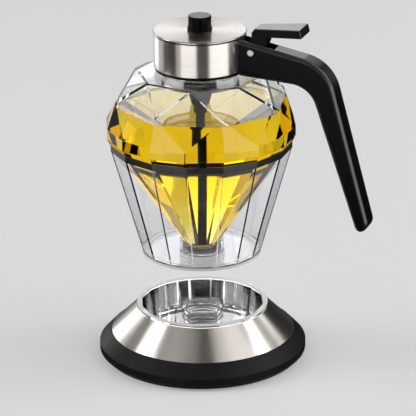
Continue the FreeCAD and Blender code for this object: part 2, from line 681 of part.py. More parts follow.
turn("nozzle", [
    ("spout_bore", f"{JAR_FOOT} + nozzle_low - spout_length"),
    ("spout_radius", f"{JAR_FOOT} + nozzle_low - spout_length"),
    ("spout_radius", f"{JAR_FOOT} + nozzle_low"),
    (NOZZLE_RADIUS, f"{JAR_FOOT} + nozzle_low"),
    (NOZZLE_RADIUS, f"{JAR_FOOT} + nozzle_top"),
    (f"{OUTLET_RADIUS} + fit_gap", f"{JAR_FOOT} + nozzle_top"),
    (f"{OUTLET_RADIUS} + fit_gap", f"{JAR_FOOT} + outlet_height - fit_gap"),
    ("spout_bore", f"{JAR_FOOT} + outlet_height - fit_gap"),
])

tube(
    "nozzle_seal",
    f"{OUTLET_RADIUS} + fit_gap",
    NOZZLE_RADIUS,
    f"{JAR_FOOT} + nozzle_top",
    f"{JAR_FOOT} + nozzle_top + seal_height",
)

turn("valve_seat", [
    ("seat_low_radius", f"{JAR_FOOT} + outlet_height"),
    ("outlet_bore - fit_gap", f"{JAR_FOOT} + outlet_height"),
    ("outlet_bore - fit_gap", f"{JAR_FOOT} + outlet_height + seat_height"),
    ("seat_high_radius", f"{JAR_FOOT} + outlet_height + seat_height"),
])

# ---- rod, its stopper and the knob ----

# the stopper's cone runs beside the seat's cone, free_gap away square to its slope
SEAT_SLOPE = "((seat_high_radius - seat_low_radius) / seat_height)"
CONE_GAP = f"(free_gap * sqrt(1 + {SEAT_SLOPE} ^ 2))"
STOPPER_TIP = f"(seat_low_radius + {SEAT_SLOPE} * free_gap - {CONE_GAP})"
STOPPER_CONE = f"((stopper_radius - {STOPPER_TIP}) / {SEAT_SLOPE})"

turn("valve_stopper", [
    ("rod_radius + fit_gap", f"{STOPPER_LOW} + stopper_floor"),
    ("0", f"{STOPPER_LOW} + stopper_floor"),
    ("0", STOPPER_LOW),
    (STOPPER_TIP, STOPPER_LOW),
    ("stopper_radius", f"{STOPPER_LOW} + {STOPPER_CONE}"),
    ("stopper_radius", f"{STOPPER_LOW} + {STOPPER_CONE} + stopper_edge"),
    ("rod_radius + fit_gap + stopper_sleeve", f"{STOPPER_LOW} + {STOPPER_CONE} + stopper_edge"),
    ("rod_radius + fit_gap + stopper_sleeve", f"{STOPPER_LOW} + stopper_height"),
    ("rod_radius + fit_gap", f"{STOPPER_LOW} + stopper_height"),
])

turn("plunger_rod", [
    ("0", f"{STOPPER_LOW} + stopper_floor + fit_gap"),
    ("rod_radius", f"{STOPPER_LOW} + stopper_floor + fit_gap"),
    ("rod_radius", CLIP_LOW),
    ("rod_radius - clip_groove", CLIP_LOW),
    ("rod_radius - clip_groove", SPRING_LOW),
    ("rod_radius", SPRING_LOW),
    ("rod_radius", f"{KNOB_LOW} + knob_socket - fit_gap"),
    ("0", f"{KNOB_LOW} + knob_socket - fit_gap"),
])

tube("lift_collar", "rod_radius + fit_gap", "lift_collar_radius", COLLAR_LOW, CLIP_LOW)

retaining_clip = tube(
    "retaining_clip", "rod_radius - clip_groove + fit_gap", "clip_radius", CLIP_LOW, SPRING_LOW
)
clip_mouth = new_sketch(retaining_clip, "XY_Plane")
draw_polygon(clip_mouth, [
    ("-clip_radius", "-clip_mouth / 2"),
    ("0", "-clip_mouth / 2"),
    ("0", "clip_mouth / 2"),
    ("-clip_radius", "clip_mouth / 2"),
])
mouth = retaining_clip.newObject("PartDesign::Pocket", "retaining_clip_mouth")
mouth.Profile = clip_mouth
mouth.Type = "ThroughAll"
mouth.Reversed = True
doc.recompute()

knob = turn("knob", [
    ("rod_radius + fit_gap", KNOB_LOW),
    ("knob_flange_radius", KNOB_LOW),
    ("knob_flange_radius", f"{KNOB_LOW} + knob_flange"),
    ("knob_radius", f"{KNOB_LOW} + knob_flange"),
    ("knob_radius", KNOB_TOP),
    ("0", KNOB_TOP),
    ("0", f"{KNOB_LOW} + knob_socket"),
    ("rod_radius + fit_gap", f"{KNOB_LOW} + knob_socket"),
])
knob_top = value(KNOB_TOP)
round_edges(
    knob, "knob_rounded", "knob_edge", lambda edge: abs(edge.BoundBox.ZMin - knob_top) < 0.001
)

# ---- head: cap, neck plug and rod guide ----


def cap_slot(body, name):
    """The opening that the lift arm passes through, on the handle's side."""
    sketch = new_sketch(body, "YZ_Plane")
    draw_polygon(sketch, [
        ("-cap_slot_width / 2", f"{PIVOT_HEIGHT} - cap_slot_below"),
        ("cap_slot_width / 2", f"{PIVOT_HEIGHT} - cap_slot_below"),
        ("cap_slot_width / 2", f"{PIVOT_HEIGHT} + cap_slot_above"),
        ("-cap_slot_width / 2", f"{PIVOT_HEIGHT} + cap_slot_above"),
    ])
    return cut_towards_handle(body, name, sketch, f"{CAP_RADIUS} + fit_gap")


def screw_holes(body, name, radius, length):
    """Two level holes from the axis towards the handle."""
    sketch = new_sketch(body, "YZ_Plane")
    for side in ("-", ""):
        draw_circle(
            sketch,
            f"{side}handle_screw_spread",
            f"{NECK_TOP} - handle_screw_drop",
            radius,
        )
    return cut_towards_handle(body, name, sketch, length)


def cut_towards_handle(body, name, sketch, length):
    pocket = body.newObject("PartDesign::Pocket", name)
    pocket.Profile = sketch
    pocket.Reversed = True
    pocket.setExpression("Length", bound(length))
    doc.recompute()
    return pocket


HEAD_END = f"({LINER_BORE} + handle_screw_sink)"

cap_shell = tube(
    "cap_shell",
    f"{CAP_RADIUS} - cap_wall",
    CAP_RADIUS,
    f"{NECK_TOP} - cap_drop",
    f"{CAP_TOP} - lid_seam",
)
cap_slot(cap_shell, "cap_shell_slot")
screw_holes(cap_shell, "cap_shell_holes", "handle_screw_radius + fit_gap", f"{CAP_RADIUS} + fit_gap")

cap_lid = tube(
    "cap_lid", "lid_hole", f"{CAP_RADIUS} + lid_overhang", CAP_TOP, f"{CAP_TOP} + lid_thickness"
)
lid_rim = value(f"{CAP_RADIUS} + lid_overhang")
round_edges(
    cap_lid,
    "cap_lid_rounded",
    "lid_edge",
    lambda edge: abs(edge.BoundBox.XMax - lid_rim) < 0.001 and edge.BoundBox.ZLength < 0.001,
)

cap_liner = turn("cap_liner", [
    (LINER_BORE, f"{NECK_TOP} - cap_drop - liner_edge"),
    (f"{CAP_RADIUS} - liner_edge_inset", f"{NECK_TOP} - cap_drop - liner_edge"),
    (f"{CAP_RADIUS} - liner_edge_inset", f"{NECK_TOP} - cap_drop - fit_gap"),
    (LINER_RADIUS, f"{NECK_TOP} - cap_drop - fit_gap"),
    (LINER_RADIUS, f"{CAP_TOP} - fit_gap"),
    (LINER_BORE, f"{CAP_TOP} - fit_gap"),
])
cap_slot(cap_liner, "cap_liner_slot")
screw_holes(cap_liner, "cap_liner_holes", "handle_screw_head + fit_gap", HEAD_END)
screw_holes(cap_liner, "cap_liner_bores", "handle_screw_radius + fit_gap", CAP_RADIUS)

tube(
    "neck_gasket",
    "neck_radius - gasket_width",
    "neck_radius",
    f"{NECK_TOP} + free_gap",
    FLANGE_LOW,
)

neck_plug = turn("neck_plug", [
    ("guide_radius + fit_gap", f"{NECK_TOP} - plug_depth"),
    (PLUG_RADIUS, f"{NECK_TOP} - plug_depth"),
    (PLUG_RADIUS, PLUG_SEAL_LOW),
    (f"{PLUG_RADIUS} - plug_seal_depth", PLUG_SEAL_LOW),
    (f"{PLUG_RADIUS} - plug_seal_depth", PLUG_SEAL_HIGH),
    (PLUG_RADIUS, PLUG_SEAL_HIGH),
    (PLUG_RADIUS, FLANGE_LOW),
    (f"{LINER_BORE} - fit_gap", FLANGE_LOW),
    (f"{LINER_BORE} - fit_gap", f"{FLANGE_LOW} + plug_flange"),
    (f"{PLUG_RADIUS} - plug_wall", f"{FLANGE_LOW} + plug_flange"),
    (f"{PLUG_RADIUS} - plug_wall", PLUG_FLOOR),
    ("guide_radius + fit_gap", PLUG_FLOOR),
])

tube(
    "plug_seal",
    f"{PLUG_RADIUS} - plug_seal_depth + fit_gap",
    PLUG_RADIUS,
    PLUG_SEAL_LOW,
    PLUG_SEAL_HIGH,
)

rod_guide = turn("rod_guide", [
    ("rod_radius + pin_gap", f"{NECK_TOP} - guide_tube_drop"),
    ("guide_tube_radius", f"{NECK_TOP} - guide_tube_drop"),
    ("guide_tube_radius", f"{NECK_TOP} - guide_cone_drop"),
    ("guide_radius", f"{NECK_TOP} - guide_boss_drop"),
    ("guide_radius", PLUG_FLOOR),
    ("guide_flange_radius", PLUG_FLOOR),
    ("guide_flange_radius", f"{PLUG_FLOOR} + guide_flange"),
    ("rod_radius + pin_gap", f"{PLUG_FLOOR} + guide_flange"),
])


def ring_of_holes(body, name, circle, radius, low, high, count):
    """Level-spaced upright holes between two heights."""
    sketch = new_sketch(body, "XY_Plane")
    sketch.setExpression("AttachmentOffset.Base.z", bound(low))
    draw_circle(sketch, circle, "0", radius)
    pocket = body.newObject("PartDesign::Pocket", name)
    pocket.Profile = sketch
    pocket.Reversed = True
    pocket.setExpression("Length", bound(f"{high} - {low}"))
    doc.recompute()
    return repeat_round(body, [pocket], count)


def ring_of_screws(label, circle, radius, head_radius, head_end, seat, shank_end, count):
    """Upright screws: each head runs from head_end to its seat, its shank on to shank_end."""
    body = new_body(label)
    body.AllowCompound = True
    pads = []
    for name, size, start, end in (
        ("shank", radius, seat, shank_end),
        ("head", head_radius, head_end, seat),
    ):
        sketch = new_sketch(body, "XY_Plane")
        sketch.setExpression("AttachmentOffset.Base.z", bound(start))
        draw_circle(sketch, circle, "0", size)
        pad = body.newObject("PartDesign::Pad", f"{label}_{name}")
        pad.Profile = sketch
        pad.Reversed = value(f"{end} - {start}") < 0
        pad.setExpression("Length", bound(f"abs({end} - {start})"))
        doc.recompute()
        pads.append(pad)
    return repeat_round(body, pads, count)


GUIDE_SEAT = f"({PLUG_FLOOR} + guide_flange)"
ring_of_screws(
    "guide_screws",
    "guide_screw_circle",
    "guide_screw_radius",
    "guide_screw_head",
    f"({GUIDE_SEAT} + guide_screw_head)",
    GUIDE_SEAT,
    f"({PLUG_FLOOR} - plug_wall + fit_gap)",
    GUIDE_SCREWS,
)
ring_of_holes(
    rod_guide,
    "rod_guide_holes",
    "guide_screw_circle",
    "guide_screw_radius + fit_gap",
    PLUG_FLOOR,
    GUIDE_SEAT,
    GUIDE_SCREWS,
)
ring_of_holes(
    neck_plug,
    "neck_plug_holes",
    "guide_screw_circle",
    "guide_screw_radius + fit_gap",
    f"({NECK_TOP} - plug_depth)",
    PLUG_FLOOR,
    GUIDE_SCREWS,
)

BASE_SEAT = "(foot_thickness + base_screw_sink)"
ring_of_screws(
    "base_screws",
    "base_screw_circle",
    "base_screw_radius",
    "base_screw_head",
    "foot_thickness",
    BASE_SEAT,
    f"({BASE_FLOOR_TOP} - 2 * fit_gap)",
    BASE_SCREWS,
)
ring_of_holes(
    base_plate,
    "base_plate_sinks",
    "base_screw_circle",
    "base_screw_head + fit_gap",
    "foot_thickness",
    BASE_SEAT,
    BASE_SCREWS,
)
ring_of_holes(
    base_plate,
    "base_plate_holes",
    "base_screw_circle",
    "base_screw_radius + fit_gap",
    BASE_SEAT,
    "base_floor_low",
    BASE_SCREWS,
)
ring_of_holes(
    base_ring,
    "base_ring_holes",
    "base_screw_circle",
    "base_screw_radius + fit_gap",
    "base_floor_low",
    f"({BASE_FLOOR_TOP} - fit_gap)",
    BASE_SCREWS,
)

# ---- lever, its pin and the lift fork ----

lever_pin = new_body("lever_pin")
pin_sketch = new_sketch(lever_pin, "XZ_Plane")
draw_circle(pin_sketch, PIVOT_REACH, PIVOT_HEIGHT, "pin_radius")
pad_across(lever_pin, "lever_pin_pad", pin_sketch, "handle_width + 2 * pin_stand_out")
round_edges(lever_pin, "lever_pin_domed", "pin_dome", lambda edge: edge.Closed)

PAD_TOP = f"({NECK_TOP} + pad_rise)"
PAD_END = f"({PAD_REACH} + pad_length)"

thumb_lever = new_body("thumb_lever")
pad_sketch = new_sketch(thumb_lever, "XZ_Plane")
draw_polygon(pad_sketch, [
    (f"{PAD_REACH} - pad_nose", f"{PAD_TOP} - pad_thickness"),
    (f"{PAD_END} + pad_flare", f"{PAD_TOP} + pad_climb - pad_thickness"),
    (PAD_END, f"{PAD_TOP} + pad_climb"),
    (PAD_REACH, PAD_TOP),
    (f"{PAD_REACH} - pad_nose", f"{PAD_TOP} - pad_nose_drop"),
])
pad_across(thumb_lever, "thumb_lever_pad", pad_sketch, "pad_far_width")
taper_sketch = new_sketch(thumb_lever, "XY_Plane")
for side in ("-", ""):
    draw_polygon(taper_sketch, [
        (f"{PAD_REACH} - 2 * pad_nose", f"{side}pad_near_width / 2"),
        (PAD_REACH, f"{side}pad_near_width / 2"),
        (PAD_END, f"{side}pad_far_width / 2"),
        (PAD_END, f"{side}pad_far_width"),
        (f"{PAD_REACH} - 2 * pad_nose", f"{side}pad_far_width"),
    ])
cut_across(thumb_lever, "thumb_lever_taper", taper_sketch, THROUGH_ALL)
pad_floor = value(f"{PAD_TOP} - pad_thickness + pad_climb")
round_edges(
    thumb_lever, "thumb_lever_rounded", "pad_edge", lambda edge: edge.BoundBox.ZMax > pad_floor
)
stem_sketch = new_sketch(thumb_lever, "XZ_Plane")
draw_polygon(stem_sketch, [
    (f"{PIVOT_REACH} - hub_back", f"{PIVOT_HEIGHT} - hub_depth"),
    (f"{PIVOT_REACH} + hub_front", f"{PIVOT_HEIGHT} - hub_depth"),
    (f"{PIVOT_REACH} + stem_low_reach", f"{PIVOT_HEIGHT} + stem_low_rise"),
    (f"{PIVOT_REACH} + stem_high_reach", f"{PIVOT_HEIGHT} + stem_high_rise"),
    (f"{PIVOT_REACH} + stem_high_reach", f"{PAD_TOP} - pad_thickness / 2"),
    (PAD_REACH, f"{PAD_TOP} - pad_thickness / 2"),
    (f"{PIVOT_REACH} - stem_back_reach", f"{PIVOT_HEIGHT} + stem_back_rise"),
    (f"{PIVOT_REACH} - hub_back", f"{PIVOT_HEIGHT} + hub_shoulder"),
])
pad_across(thumb_lever, "thumb_lever_stem", stem_sketch, "stem_width")
pin_hole = new_sketch(thumb_lever, "XZ_Plane")
draw_circle(pin_hole, PIVOT_REACH, PIVOT_HEIGHT, "pin_radius + pin_gap")
cut_across(thumb_lever, "thumb_lever_bore", pin_hole, "handle_width")
arm_socket = new_sketch(thumb_lever, "XZ_Plane")
draw_polygon(arm_socket, [
    (f"{PIVOT_REACH} - 2 * hub_back", f"{PIVOT_HEIGHT} - fork_thickness / 2 - fit_gap"),
    (f"{FORK_ROOT} + fit_gap", f"{PIVOT_HEIGHT} - fork_thickness / 2 - fit_gap"),
    (f"{FORK_ROOT} + fit_gap", f"{PIVOT_HEIGHT} + fork_thickness / 2 + fit_gap"),
    (f"{PIVOT_REACH} - 2 * hub_back", f"{PIVOT_HEIGHT} + fork_thickness / 2 + fit_gap"),
])
cut_across(thumb_lever, "thumb_lever_socket", arm_socket, "fork_width + 2 * fit_gap")

PAD_CONTACT = f"({COLLAR_LOW} - free_gap)"
TINE_TOP = f"({PAD_CONTACT} - fork_pad_rise)"
TINE_LOW = f"({TINE_TOP} - fork_tine_thickness)"
ROD_SLOT = "(rod_radius + fork_slot_gap)"
FORK_HALF = f"({ROD_SLOT} + fork_tine_width)"

lift_fork = new_body("lift_fork")
arm_sketch = new_sketch(lift_fork, "XZ_Plane")
draw_polygon(arm_sketch, [
    (FORK_ROOT, f"{PIVOT_HEIGHT} + fork_thickness / 2"),
    ("fork_bend", f"{PIVOT_HEIGHT} + fork_thickness / 2"),
    ("fork_bend - fork_step", TINE_TOP),
    ("fork_slot_end", TINE_TOP),
    ("fork_slot_end", TINE_LOW),
    ("fork_bend - fork_step + fork_tine_thickness / 2", TINE_LOW),
    ("fork_bend + fork_tine_thickness / 2", f"{PIVOT_HEIGHT} - fork_thickness / 2"),
    (FORK_ROOT, f"{PIVOT_HEIGHT} - fork_thickness / 2"),
])
pad_across(lift_fork, "lift_fork_arm", arm_sketch, "fork_width")
plate_sketch = new_sketch(lift_fork, "XY_Plane")
plate_sketch.setExpression("AttachmentOffset.Base.z", bound(TINE_LOW))
draw_polygon(plate_sketch, [
    ("fork_tip", f"-{FORK_HALF}"),
    ("fork_back", f"-{FORK_HALF}"),
    ("fork_back", FORK_HALF),
    ("fork_tip", FORK_HALF),
])
plate = lift_fork.newObject("PartDesign::Pad", "lift_fork_plate")
plate.Profile = plate_sketch
plate.setExpression("Length", bound("fork_tine_thickness"))
doc.recompute()
contact_sketch = new_sketch(lift_fork, "XZ_Plane")
draw_circle(contact_sketch, "0", f"{PAD_CONTACT} - fork_pad_radius", "fork_pad_radius")
pad_across(lift_fork, "lift_fork_contacts", contact_sketch, f"2 * {FORK_HALF}")
slot_sketch = new_sketch(lift_fork, "XY_Plane")
draw_polygon(slot_sketch, [
    ("2 * fork_tip", f"-{ROD_SLOT}"),
    ("fork_slot_end", f"-{ROD_SLOT}"),
    ("fork_slot_end", ROD_SLOT),
    ("2 * fork_tip", ROD_SLOT),
])
cut_across(lift_fork, "lift_fork_slot", slot_sketch, THROUGH_ALL)

# ---- handle and its screws ----

HANDLE_START = f"({CAP_RADIUS} - handle_width / 2)"

handle = new_body("handle")
outline_sketch = new_sketch(handle, "XZ_Plane")
corners = {
    "knee": (KNEE_REACH, f"{NECK_TOP} + knee_rise"),
    "tip_out": (TIP_OUT_REACH, f"{NECK_TOP} + tip_rise"),
    "tip_in": (TIP_IN_REACH, f"{NECK_TOP} + tip_rise"),
    "crook": (CROOK_REACH, f"{NECK_TOP} + knee_rise - crook_drop"),
}
draw_polygon(outline_sketch, [
    (HANDLE_START, f"{NECK_TOP} - cap_drop - arm_drop"),
    (HANDLE_START, f"{CAP_TOP} + arm_proud"),
    corners["knee"],
    corners["tip_out"],
    corners["tip_in"],
    corners["crook"],
])
pad_across(handle, "handle_pad", outline_sketch, "handle_width")


def runs_across_at(corner):
    """Picks the edge that runs from side to side at a corner of the side view."""
    x = value(corner[0])
    z = value(corner[1])

    def wanted(edge):
        box = edge.BoundBox
        return abs(box.XMin - x) + abs(box.XMax - x) + abs(box.ZMin - z) + abs(box.ZMax - z) < 0.01

    return wanted


for name, radius in (
    ("knee", "knee_radius"),
    ("crook", "crook_radius"),
    ("tip_out", "tip_out_rounding"),
    ("tip_in", "tip_in_rounding"),
):
    round_edges(handle, f"handle_{name}", radius, runs_across_at(corners[name]))

handle_start = value(HANDLE_START)
round_edges(
    handle,
    "handle_edges",
    "handle_edge",
    lambda edge: edge.BoundBox.YLength < 0.001 and edge.BoundBox.XMax > handle_start + 0.01,
)
cap_sketch = new_sketch(handle, "XY_Plane")
draw_circle(cap_sketch, "0", "0", f"{CAP_RADIUS} + fit_gap / 2")
cut_across(handle, "handle_cap_face", cap_sketch, THROUGH_ALL)
slot_outline = new_sketch(handle, "XZ_Plane")
SLOT_FLOOR = f"({NECK_TOP} + slot_floor)"
draw_polygon(slot_outline, [
    (HANDLE_START, SLOT_FLOOR),
    (SLOT_FLOOR_END, SLOT_FLOOR),
    (SLOT_END, f"{SLOT_FLOOR} + slot_slope"),
    (SLOT_END, KNOB_TOP),
    (HANDLE_START, KNOB_TOP),
])
cut_across(handle, "handle_slot", slot_outline, "slot_width")
handle_pin_hole = new_sketch(handle, "XZ_Plane")
draw_circle(handle_pin_hole, PIVOT_REACH, PIVOT_HEIGHT, "pin_radius + fit_gap / 2")
cut_across(handle, "handle_pin_bore", handle_pin_hole, "2 * handle_width")
SCREW_END = f"({HEAD_END} + handle_screw_length)"
screw_holes(handle, "handle_screw_bores", "handle_screw_radius + fit_gap", SCREW_END)

handle_screws = new_body("handle_screws")
handle_screws.AllowCompound = True
for name, radius, start, end in (
    ("heads", "handle_screw_head", LINER_BORE, HEAD_END),
    ("shanks", "handle_screw_radius", HEAD_END, f"({SCREW_END} - fit_gap)"),
):
    screw_sketch = new_sketch(handle_screws, "YZ_Plane")
    screw_sketch.setExpression("AttachmentOffset.Base.z", bound(start))
    for side in ("-", ""):
        draw_circle(
            screw_sketch,
            f"{side}handle_screw_spread",
            f"{NECK_TOP} - handle_screw_drop",
            radius,
        )
    screw_pad = handle_screws.newObject("PartDesign::Pad", "handle_screw_" + name)
    screw_pad.Profile = screw_sketch
    screw_pad.setExpression("Length", bound(f"{end} - {start}"))
    doc.recompute()

# ---- return spring ----

SPRING_SPAN = f"({CAP_TOP} - {SPRING_LOW} - 2 * spring_wire - 2 * fit_gap)"
SPRING_START = f"({SPRING_LOW} + spring_wire + fit_gap)"
coil = doc.addObject("Part::Helix", "spring_line")
coil.setExpression("Radius", bound("spring_radius"))
coil.setExpression("Height", bound(SPRING_SPAN))
coil.setExpression("Pitch", bound(f"{SPRING_SPAN} / spring_turns"))
coil.setExpression("Placement.Base.z", bound(SPRING_START))
wire = doc.addObject("Part::Circle", "spring_section")
wire.setExpression("Radius", bound("spring_wire"))
wire.Placement = FreeCAD.Placement(Vector(0, 0, 0), FreeCAD.Rotation(Vector(1, 0, 0), 90))
wire.setExpression("Placement.Base.x", bound("spring_radius"))
wire.setExpression("Placement.Base.z", bound(SPRING_START))
spring = doc.addObject("Part::Sweep", "return_spring")
spring.Sections = [wire]
spring.Spine = (coil, [])
spring.Solid = True
spring.Frenet = True
spring.Label = "return_spring"
nodes.append(spring)

# ---- check and write ----

doc.recompute()
failed = [item.Label for item in doc.Objects if {"Invalid", "Error"} & set(item.State)]
if failed:
    raise RuntimeError("failed: " + ", ".join(failed))
for node in nodes:
    if node.Shape.isNull() or not node.Shape.isValid() or not node.Shape.Solids:
        raise RuntimeError("bad shape: " + node.Label)

os.makedirs("parts", exist_ok=True)
for node in nodes:
    node.Shape.exportStep(f"parts/{node.Label}.step")
    box = node.Shape.BoundBox
    print(
        f"{node.Label:16s} {len(node.Shape.Solids)} solid, {node.Shape.Volume:9.1f} mm3, "
        f"x {box.XMin:6.1f} {box.XMax:6.1f}  y {box.YMin:6.1f} {box.YMax:6.1f}  "
        f"z {box.ZMin:6.1f} {box.ZMax:6.1f}"
    )
print(len(nodes), "nodes")
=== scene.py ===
import math

import bmesh
import bpy
from mathutils import Matrix, Vector


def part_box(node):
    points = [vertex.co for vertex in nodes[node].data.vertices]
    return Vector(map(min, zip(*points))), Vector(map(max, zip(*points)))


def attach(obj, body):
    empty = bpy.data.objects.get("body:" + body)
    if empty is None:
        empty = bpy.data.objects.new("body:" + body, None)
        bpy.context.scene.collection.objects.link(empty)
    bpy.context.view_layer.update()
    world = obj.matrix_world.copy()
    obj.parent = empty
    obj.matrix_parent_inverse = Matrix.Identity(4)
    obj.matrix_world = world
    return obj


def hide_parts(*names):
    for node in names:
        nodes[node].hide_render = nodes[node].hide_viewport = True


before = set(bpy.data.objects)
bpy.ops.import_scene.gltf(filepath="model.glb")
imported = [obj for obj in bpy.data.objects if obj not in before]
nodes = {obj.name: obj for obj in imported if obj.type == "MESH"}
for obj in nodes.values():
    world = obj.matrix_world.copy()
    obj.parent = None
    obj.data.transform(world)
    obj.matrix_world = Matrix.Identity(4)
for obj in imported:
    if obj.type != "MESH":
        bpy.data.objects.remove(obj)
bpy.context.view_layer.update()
print("frame loaded,", len(nodes), "pieces from the workshop")

viewpoint = {
    "azimuth": 20.0,  # degrees, from the side that looks along +Y
    "elevation": 20.76,
    "distance": 1.499,
    "lens": 236.1,  # mm, on a 36 mm sensor
    "sensor": 36.0,
    "aim": (0.00336, 0.00122, 0.08433),
    "roll": -0.50,
    "farClip": 50.0,
}


def placeCamera():
    azimuth = math.radians(viewpoint["azimuth"])
    elevation = math.radians(viewpoint["elevation"])
    roll = math.radians(viewpoint["roll"])
    back = Vector((
        math.sin(azimuth) * math.cos(elevation),
        -math.cos(azimuth) * math.cos(elevation),
        math.sin(elevation),
    ))
    right = Vector((0, 0, 1)).cross(back).normalized()
    up = back.cross(right)
    tiltedRight = right * math.cos(roll) + up * math.sin(roll)
    tiltedUp = up * math.cos(roll) - right * math.sin(roll)
    data = bpy.data.cameras.new("camera")
    data.lens = viewpoint["lens"]
    data.sensor_width = viewpoint["sensor"]
    data.clip_end = viewpoint["farClip"]
    camera = bpy.data.objects.new("camera", data)
    turn = Matrix((tiltedRight, tiltedUp, back)).transposed()
    spot = Vector(viewpoint["aim"]) + back * viewpoint["distance"]
    camera.matrix_world = Matrix.Translation(spot) @ turn.to_4x4()
    bpy.context.scene.collection.objects.link(camera)
    bpy.context.scene.camera = camera


placeCamera()
print("camera placed")

# small helpers that the finishes share


def newMaterial(name):
    material = bpy.data.materials.new(name)
    material.use_nodes = True
    return material, material.node_tree, material.node_tree.nodes["Principled BSDF"]


def objectPoint(tree):
    return tree.nodes.new("ShaderNodeTexCoord").outputs["Object"]


def partsOf(tree, vector):
    parts = tree.nodes.new("ShaderNodeSeparateXYZ")
    tree.links.new(vector, parts.inputs["Vector"])
    return [parts.outputs[axis] for axis in "XYZ"]


def noiseOf(tree, point, scale, detail=3.0):
    noise = tree.nodes.new("ShaderNodeTexNoise")
    noise.inputs["Scale"].default_value = scale
    noise.inputs["Detail"].default_value = detail
    tree.links.new(point, noise.inputs["Vector"])
    return noise.outputs["Fac"]


def between(tree, factor, low, high, start=0.3, end=0.7):
    span = tree.nodes.new("ShaderNodeMapRange")
    span.inputs["From Min"].default_value = start
    span.inputs["From Max"].default_value = end
    span.inputs["To Min"].default_value = low
    span.inputs["To Max"].default_value = high
    tree.links.new(factor, span.inputs["Value"])
    return span.outputs["Result"]


def colorMix(tree):
    mix = tree.nodes.new("ShaderNodeMix")
    mix.data_type = "RGBA"
    first, second = [item for item in mix.inputs if item.type == "RGBA"]
    mixed = [item for item in mix.outputs if item.type == "RGBA"][0]
    return mix.inputs["Factor"], first, second, mixed


def blendColors(tree, factor, first, second):
    share, colorA, colorB, mixed = colorMix(tree)
    colorA.default_value = (*first, 1)
    colorB.default_value = (*second, 1)
    tree.links.new(factor, share)
    return mixed


def raiseSurface(tree, shader, height, distance):
    bump = tree.nodes.new("ShaderNodeBump")
    bump.inputs["Distance"].default_value = distance
    tree.links.new(height, bump.inputs["Height"])
    tree.links.new(bump.outputs["Normal"], shader.inputs["Normal"])


def calculate(tree, operation, *values):
    node = tree.nodes.new("ShaderNodeMath")
    node.operation = operation
    for socket, value in zip(node.inputs, values):
        if isinstance(value, (int, float)):
            socket.default_value = value
        else:
            tree.links.new(value, socket)
    return node.outputs["Value"]


# 1 between two heights and 0 elsewhere
def bandOf(tree, z, low, high):
    under = calculate(tree, "LESS_THAN", z, high)
    above = calculate(tree, "GREATER_THAN", z, low)
    return calculate(tree, "MULTIPLY", under, above)


# square of the distance from the axis
def squareReach(tree, x, y):
    return calculate(tree, "MULTIPLY_ADD", x, x, calculate(tree, "MULTIPLY", y, y))


def letLampsThrough(tree, shader, tint):
    output = tree.nodes["Material Output"]
    path = tree.nodes.new("ShaderNodeLightPath")
    clear = tree.nodes.new("ShaderNodeBsdfTransparent")
    clear.inputs["Color"].default_value = (*tint, 1)
    mix = tree.nodes.new("ShaderNodeMixShader")
    tree.links.new(path.outputs["Is Shadow Ray"], mix.inputs["Fac"])
    tree.links.new(shader.outputs["BSDF"], mix.inputs[1])
    tree.links.new(clear.outputs["BSDF"], mix.inputs[2])
    tree.links.new(mix.outputs["Shader"], output.inputs["Surface"])


# which way a face points on the outside of its piece, whichever side is hit
def outwardNormal(tree):
    face = tree.nodes.new("ShaderNodeNewGeometry")
    side = calculate(tree, "MULTIPLY_ADD", face.outputs["Backfacing"], -2.0, 1.0)
    parts = partsOf(tree, face.outputs["True Normal"])
    return [calculate(tree, "MULTIPLY", part, side) for part in parts]


# where honey and acrylic touch, neither bends light, because both have one index
def matchIndex(tree, shader, touching, index):
    bending = calculate(tree, "MULTIPLY_ADD", touching, 1.0 - index, index)
    shader.inputs["IOR"].default_value = index
    tree.links.new(bending, shader.inputs["IOR"])


acrylic = {
    "color": (0.972, 0.975, 0.988),
    "cupColor": (0.985, 0.985, 0.99),
    "jarColor": (0.975, 0.975, 0.97),
    "ior": 1.49,
    "clearest": 0.004,  # roughness where the mould was best polished
    "dullest": 0.022,
    "patchScale": 60.0,
    "rippleScale": 38.0,
    "ripple": 0.00003,  # metres
    "shade": (0.86, 0.88, 0.91),
}


def makeAcrylic(name, color):
    material, tree, shader = newMaterial(name)
    point = objectPoint(tree)
    shader.inputs["Base Color"].default_value = (*color, 1)
    shader.inputs["IOR"].default_value = acrylic["ior"]
    shader.inputs["Transmission Weight"].default_value = 1.0
    patches = noiseOf(tree, point, acrylic["patchScale"], detail=5.0)
    rough = between(tree, patches, acrylic["clearest"], acrylic["dullest"])
    tree.links.new(rough, shader.inputs["Roughness"])
    ripples = noiseOf(tree, point, acrylic["rippleScale"], detail=1.0)
    raiseSurface(tree, shader, ripples, acrylic["ripple"])
    letLampsThrough(tree, shader, acrylic["shade"])
    return material, tree, shader, rough


# a band between two heights and outside a radius is made partly diffuse, so its pale colour shows as
# a white line: a painted highlight on the rim
def makeAcrylicWithPaintedRim(name, color, rim):
    material, tree, shader, rough = makeAcrylic(name, color)
    x, y, z = partsOf(tree, objectPoint(tree))
    outside = calculate(tree, "GREATER_THAN", squareReach(tree, x, y), rim["radius"] ** 2)
    paintedRim = calculate(tree, "MULTIPLY", outside, bandOf(tree, z, rim["low"], rim["high"]))
    clear = calculate(tree, "MULTIPLY_ADD", paintedRim, rim["clear"] - 1.0, 1.0)
    tree.links.new(clear, shader.inputs["Transmission Weight"])
    return material


